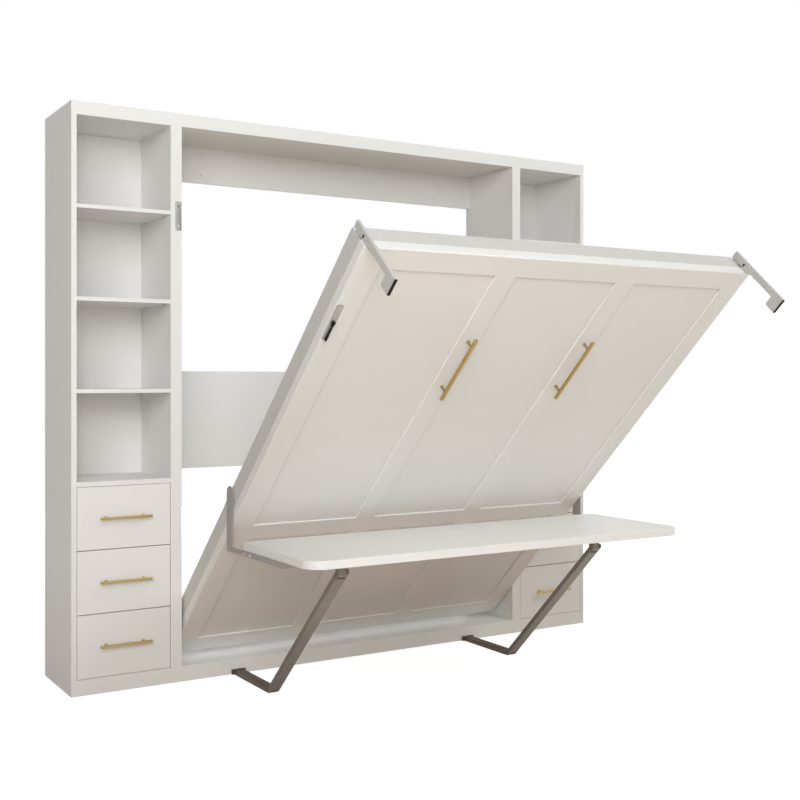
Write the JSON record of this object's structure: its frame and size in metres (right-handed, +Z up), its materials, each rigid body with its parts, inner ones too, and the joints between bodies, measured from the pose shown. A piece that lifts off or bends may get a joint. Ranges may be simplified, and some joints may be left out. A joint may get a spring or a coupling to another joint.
{
  "type": "wall bed with fold-down desk",
  "caption": "White upright wall bed between two side columns of open shelves and drawers, with a fold-down desk on steel struts and fold-out bed legs.",
  "frame": {"origin": "On the floor under the middle of the cabinet's footprint", "axes": "+X along the width to the right as one faces the front, +Y from the front to the wall behind, +Z up"},
  "size_m": [2.52, 1.7953, 2.2],
  "materials": {
    "white_paint": "white satin lacquer on board",
    "blue_grey_board": "pale blue-grey board",
    "slat_wood": "plain birch plywood",
    "brass_pull": "satin brass",
    "pale_frame_steel": "light grey powder coat",
    "grey_steel": "mid grey powder coat",
    "nickel_steel": "satin nickel",
    "black_lever": "black moulded plastic",
    "black_rubber": "matte rubber"
  },
  "bodies": {
    "cabinet": {"left_outer_side": "white_paint", "right_outer_side": "white_paint", "left_inner_side": "white_paint", "right_inner_side": "white_paint", "left_bed_upright": "white_paint", "right_bed_upright": "white_paint", "top_panel": "white_paint", "top_fascia": "white_paint", "plinth": "white_paint", "base_boards": "white_paint", "floor_bearers": "white_paint", "column_backs": "white_paint", "top_back_rail": "white_paint", "mid_back_board": "blue_grey_board", "shelves": "white_paint", "drawer_decks": "white_paint", "shelf_pins": "nickel_steel", "drawer_runners": "nickel_steel", "foot_bars": "grey_steel", "strike_plate": "nickel_steel", "bed_pivot_pins": "nickel_steel"},
    "bed": {"bed_face_panel": "white_paint", "bed_face_frame": "white_paint", "left_side_rail": "pale_frame_steel", "right_side_rail": "pale_frame_steel", "head_rail": "pale_frame_steel", "foot_rail": "pale_frame_steel", "bed_slats": "slat_wood", "bed_handles": "brass_pull", "lock_plate": "nickel_steel", "arm_pivots": "grey_steel"},
    "latch": {"latch_lever": "black_lever"},
    "left_leg": {"left_bed_leg": "pale_frame_steel", "left_leg_pad": "black_rubber"},
    "right_leg": {"right_bed_leg": "pale_frame_steel", "right_leg_pad": "black_rubber"},
    "desk": {"desk_top": "white_paint", "desk_arms": "grey_steel", "desk_bolts": "nickel_steel", "desk_hinges": "grey_steel"},
    "struts": {"left_strut": "grey_steel", "right_strut": "grey_steel"},
    "left_top_drawer": {"left_top_drawer_front": "white_paint", "left_top_drawer_box": "white_paint", "left_top_drawer_handle": "brass_pull"},
    "left_mid_drawer": {"left_mid_drawer_front": "white_paint", "left_mid_drawer_box": "white_paint", "left_mid_drawer_handle": "brass_pull"},
    "left_low_drawer": {"left_low_drawer_front": "white_paint", "left_low_drawer_box": "white_paint", "left_low_drawer_handle": "brass_pull"},
    "right_top_drawer": {"right_top_drawer_front": "white_paint", "right_top_drawer_box": "white_paint", "right_top_drawer_handle": "brass_pull"},
    "right_mid_drawer": {"right_mid_drawer_front": "white_paint", "right_mid_drawer_box": "white_paint", "right_mid_drawer_handle": "brass_pull"},
    "right_low_drawer": {"right_low_drawer_front": "white_paint", "right_low_drawer_box": "white_paint", "right_low_drawer_handle": "brass_pull"}
  },
  "joints": [
    {"name": "bed_hinge", "type": "hinge", "parent": "cabinet", "child": "bed", "pos_m": [0, -0.1185, 0.2319], "axis": [1, 0, 0], "range_deg": [-44.28, 45.72]},
    {"name": "desk_hinge", "type": "hinge", "parent": "bed", "child": "desk", "pos_m": [0, -0.6105, 0.74215], "axis": [1, 0, 0], "range_deg": [-45.72, 44.28]},
    {"name": "strut_hinge", "type": "hinge", "parent": "cabinet", "child": "struts", "pos_m": [0, -0.4725, 0.0085], "axis": [1, 0, 0], "range_deg": [-44.28, 45.72]},
    {"name": "latch_turn", "type": "hinge", "parent": "bed", "child": "latch", "pos_m": [-0.798, -1.2825, 1.33959], "axis": [0, -0.7159, -0.6982], "range_deg": [-90, 0]},
    {"name": "left_leg_hinge", "type": "hinge", "parent": "bed", "child": "left_leg", "pos_m": [-0.802, -1.42462, 1.58846], "axis": [1, 0, 0], "range_deg": [-184, 0]},
    {"name": "right_leg_hinge", "type": "hinge", "parent": "bed", "child": "right_leg", "pos_m": [0.802, -1.42462, 1.58846], "axis": [1, 0, 0], "range_deg": [-184, 0]},
    {"name": "left_top_drawer_slide", "type": "slide", "parent": "cabinet", "child": "left_top_drawer", "axis": [0, -1, 0], "range_m": [0, 0.25]},
    {"name": "left_mid_drawer_slide", "type": "slide", "parent": "cabinet", "child": "left_mid_drawer", "axis": [0, -1, 0], "range_m": [0, 0.25]},
    {"name": "left_low_drawer_slide", "type": "slide", "parent": "cabinet", "child": "left_low_drawer", "axis": [0, -1, 0], "range_m": [0, 0.25]},
    {"name": "right_top_drawer_slide", "type": "slide", "parent": "cabinet", "child": "right_top_drawer", "axis": [0, -1, 0], "range_m": [0, 0.25]},
    {"name": "right_mid_drawer_slide", "type": "slide", "parent": "cabinet", "child": "right_mid_drawer", "axis": [0, -1, 0], "range_m": [0, 0.25]},
    {"name": "right_low_drawer_slide", "type": "slide", "parent": "cabinet", "child": "right_low_drawer", "axis": [0, -1, 0], "range_m": [0, 0.25]}
  ],
  "couplings": [
    {"joint": "desk_hinge", "follows": "bed_hinge", "ratio": -1},
    {"joint": "strut_hinge", "follows": "bed_hinge", "ratio": 1}
  ]
}
